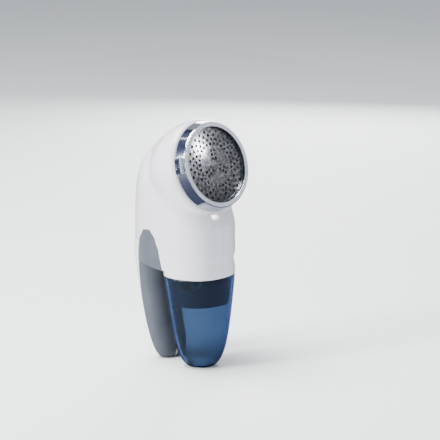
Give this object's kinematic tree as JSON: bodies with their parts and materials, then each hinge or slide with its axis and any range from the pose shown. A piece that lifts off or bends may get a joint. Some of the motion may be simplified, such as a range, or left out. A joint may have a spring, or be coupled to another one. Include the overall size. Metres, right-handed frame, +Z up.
{
  "type": "fabric shaver",
  "caption": "Hook-shaped battery fabric shaver: white body with a perforated round head in a chrome ring, soft-grip handle and a translucent blue lint bin.",
  "frame": {"origin": "on the ground, under the middle of the body's width and depth", "axes": "+Z up along the upright body, -Y is where the shaving head faces (tilted up by 17.5 degrees), +Y is the handle's back, +X is the power button's side"},
  "size_m": [0.064, 0.0805, 0.1645],
  "materials": {
    "white_shell": "glossy moulded ABS",
    "grip_grey": "satin soft-touch elastomer",
    "blue_clear": "translucent tinted polystyrene",
    "skirt_plastic": "moulded, satin",
    "black_plastic": "polished moulded",
    "inner_plastic": "moulded, unpainted",
    "chrome": "bright plated",
    "foil_steel": "perforated, fine circular brushing",
    "steel": "plated steel",
    "motor_iron": "laminated, varnished",
    "ferrite": "sintered",
    "copper": "enamelled copper",
    "contact_metal": "nickel plated spring strip",
    "cell_jacket": "shrink sleeve, plain",
    "wire_red": "insulated"
  },
  "bodies": {
    "housing": {"left_housing": "white_shell", "right_housing": "white_shell", "left_grip": "grip_grey", "right_grip": "grip_grey", "housing_screws": "steel", "button_bezel": "inner_plastic", "switch_body": "black_plastic", "cutter_chamber": "inner_plastic", "lint_duct": "inner_plastic", "bin_spigot": "skirt_plastic", "motor_mount": "inner_plastic", "motor_screws": "steel", "motor_can": "steel", "motor_magnets": "ferrite", "motor_end_bell": "black_plastic", "motor_terminals": "contact_metal", "front_bush": "contact_metal", "battery_lower": "cell_jacket", "battery_upper": "cell_jacket", "spring_contact": "contact_metal", "link_contact": "contact_metal", "positive_contact": "contact_metal", "supply_wire": "wire_red", "switch_wire": "wire_red"},
    "rotor": {"motor_shaft": "steel", "armature": "motor_iron", "windings": "copper", "commutator": "copper", "fan_impeller": "inner_plastic", "cutter_hub": "inner_plastic", "cutter_blades": "foil_steel"},
    "foil_carrier": {"foil": "foil_steel", "foil_frame": "inner_plastic"},
    "ring": {"chrome_ring": "chrome"},
    "button": {"power_button": "black_plastic"},
    "bin": {"lint_bin": "blue_clear"},
    "cover": {"battery_cover": "white_shell"}
  },
  "joints": [
    {"name": "cutter_spin", "type": "hinge", "parent": "housing", "child": "rotor", "pos_m": [0, -0.032, 0.137], "axis": [0, -0.9537, 0.3007], "continuous": true},
    {"name": "cap_lift", "type": "slide", "parent": "housing", "child": "foil_carrier", "axis": [0, -0.9537, 0.3007], "range_m": [0, 0.012]},
    {"name": "ring_turn", "type": "hinge", "parent": "foil_carrier", "child": "ring", "pos_m": [0, -0.032, 0.137], "axis": [0, -0.9537, 0.3007], "range_deg": [0, 40]},
    {"name": "button_press", "type": "slide", "parent": "housing", "child": "button", "axis": [-1, 0, 0], "range_m": [0, 0.0015], "stiffness_N_per_m": 800, "springref_m": -0.001},
    {"name": "bin_slide", "type": "slide", "parent": "housing", "child": "bin", "axis": [0, 0, -1], "range_m": [0, 0.075]},
    {"name": "cover_hinge", "type": "hinge", "parent": "housing", "child": "cover", "pos_m": [0, 0.0233, 0.012], "axis": [-1, 0, 0], "range_deg": [0, 60]}
  ]
}
